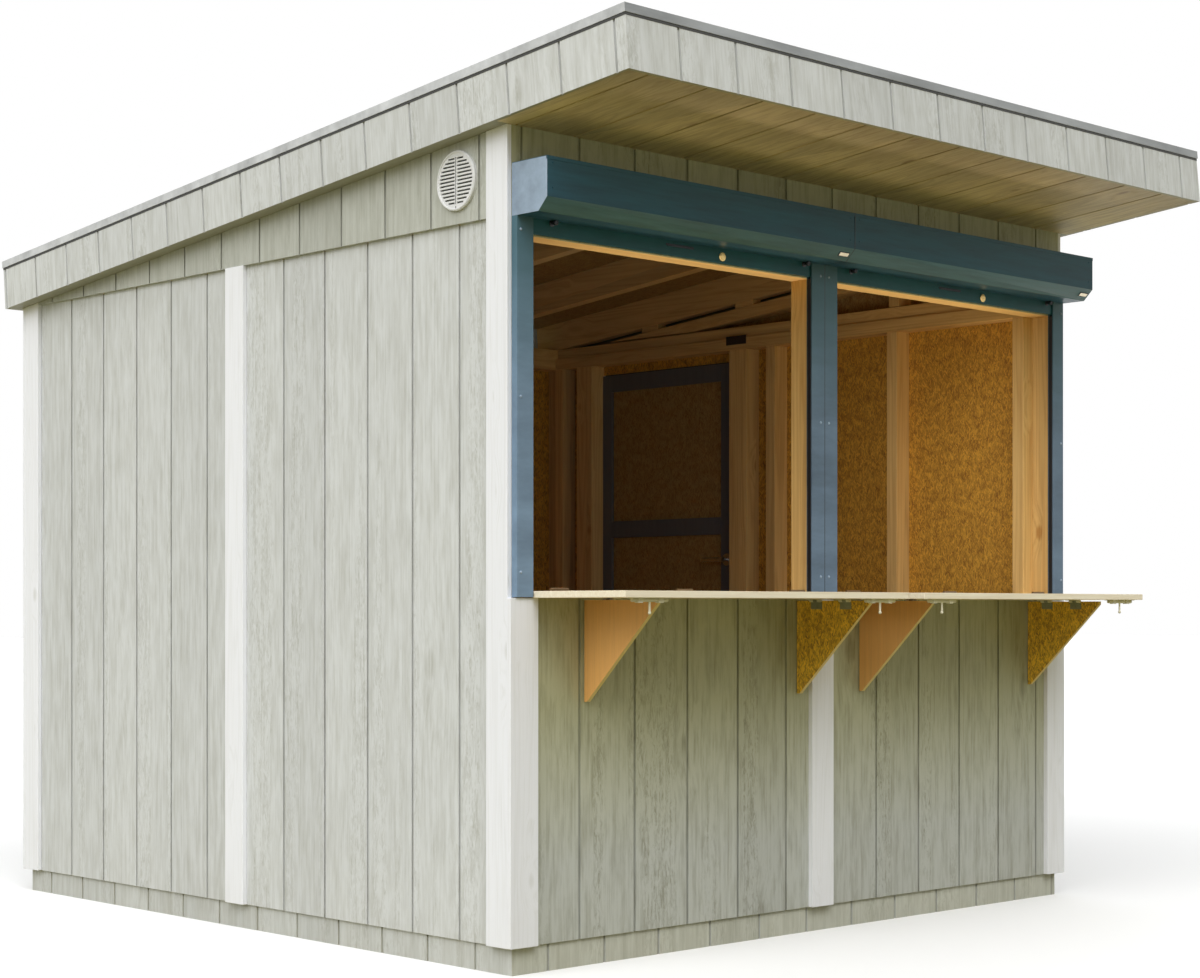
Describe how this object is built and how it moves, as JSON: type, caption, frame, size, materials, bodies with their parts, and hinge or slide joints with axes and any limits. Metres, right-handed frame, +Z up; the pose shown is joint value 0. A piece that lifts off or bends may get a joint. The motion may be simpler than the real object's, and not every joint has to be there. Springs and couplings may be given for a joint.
{
  "type": "wooden market hut",
  "caption": "Timber market hut with grooved siding, a mono-pitch roof over the service front, roller-shuttered openings, fold-up counters on hinged brackets and a ledged side door.",
  "frame": {"origin": "on the ground in the middle of the plinth", "axes": "+Z up, -Y out of the service front, +X towards the door side"},
  "size_m": [2.523, 3.1067, 2.4256],
  "materials": {
    "siding": "grooved siding with a pale grey wood-grain paint",
    "osb": "raw strand board",
    "pine": "planed pine framing",
    "white_trim": "white painted boards",
    "soffit": "brown stained boards",
    "counter": "pale lacquered pine board",
    "bracket": "tan faced strand board",
    "dark_ledge": "black stained boards",
    "hinge_steel": "galvanised",
    "shutter_paint": "satin blue-grey coating",
    "rail_paint": "satin blue-grey coating",
    "curtain_paint": "satin teal coating",
    "roof_felt": "matt roofing membrane",
    "edge_metal": "grey folded sheet",
    "vent_plastic": "white moulded plastic",
    "handle_steel": "satin steel"
  },
  "bodies": {
    "hut": {"floor_joists": "pine", "floor_deck": "osb", "plinth_boards": "siding", "left_wall_frame": "pine", "right_wall_frame": "pine", "rear_wall_frame": "pine", "front_wall_frame": "pine", "upper_frame": "pine", "left_siding": "siding", "right_siding": "siding", "rear_siding": "siding", "front_siding": "siding", "front_upper_siding": "siding", "gable_siding": "siding", "left_trim": "white_trim", "right_trim": "white_trim", "rear_trim": "white_trim", "front_trim": "white_trim", "door_hinge_plates": "hinge_steel", "window_sills": "counter", "sill_hinges": "hinge_steel", "left_shutter_box": "shutter_paint", "right_shutter_box": "shutter_paint", "left_shutter_rails": "rail_paint", "right_shutter_rails": "rail_paint", "left_shutter_curtain": "curtain_paint", "right_shutter_curtain": "curtain_paint", "rafters": "pine", "roof_deck": "osb", "roof_covering": "roof_felt", "fascia_boards": "siding", "front_soffit": "soffit", "edge_trim": "edge_metal", "vent_grille": "vent_plastic"},
    "door": {"door_leaf": "siding", "door_ledges": "dark_ledge", "door_handles": "handle_steel", "door_hinge_leaves": "hinge_steel"},
    "left_counter": {"left_counter": "counter", "left_counter_fittings": "hinge_steel"},
    "right_counter": {"right_counter": "counter", "right_counter_fittings": "hinge_steel"},
    "left_outer_bracket": {"left_outer_bracket": "bracket", "left_outer_bracket_hinges": "hinge_steel"},
    "left_inner_bracket": {"left_inner_bracket": "bracket", "left_inner_bracket_hinges": "hinge_steel"},
    "right_inner_bracket": {"right_inner_bracket": "bracket", "right_inner_bracket_hinges": "hinge_steel"},
    "right_outer_bracket": {"right_outer_bracket": "bracket", "right_outer_bracket_hinges": "hinge_steel"}
  },
  "joints": [
    {"name": "door_swing", "type": "hinge", "parent": "hut", "child": "door", "pos_m": [1.2028, 0.9605, 0.9835], "axis": [0, 0, 1], "range_deg": [0, 110]},
    {"name": "left_counter_fold", "type": "hinge", "parent": "hut", "child": "left_counter", "pos_m": [-0.5885, -1.2895, 1.0078], "axis": [-1, 0, 0], "range_deg": [0, 90]},
    {"name": "right_counter_fold", "type": "hinge", "parent": "hut", "child": "right_counter", "pos_m": [0.5885, -1.2895, 1.0078], "axis": [-1, 0, 0], "range_deg": [0, 90]},
    {"name": "left_outer_bracket_fold", "type": "hinge", "parent": "left_counter", "child": "left_outer_bracket", "pos_m": [-0.9292, -1.27, 0.9802], "axis": [0, -1, 0], "range_deg": [0, 90]},
    {"name": "left_inner_bracket_fold", "type": "hinge", "parent": "left_counter", "child": "left_inner_bracket", "pos_m": [-0.1088, -1.27, 0.9802], "axis": [0, 1, 0], "range_deg": [0, 90]},
    {"name": "right_inner_bracket_fold", "type": "hinge", "parent": "right_counter", "child": "right_inner_bracket", "pos_m": [0.1928, -1.27, 0.9802], "axis": [0, -1, 0], "range_deg": [0, 90]},
    {"name": "right_outer_bracket_fold", "type": "hinge", "parent": "right_counter", "child": "right_outer_bracket", "pos_m": [1.0182, -1.27, 0.9802], "axis": [0, 1, 0], "range_deg": [0, 90]}
  ]
}
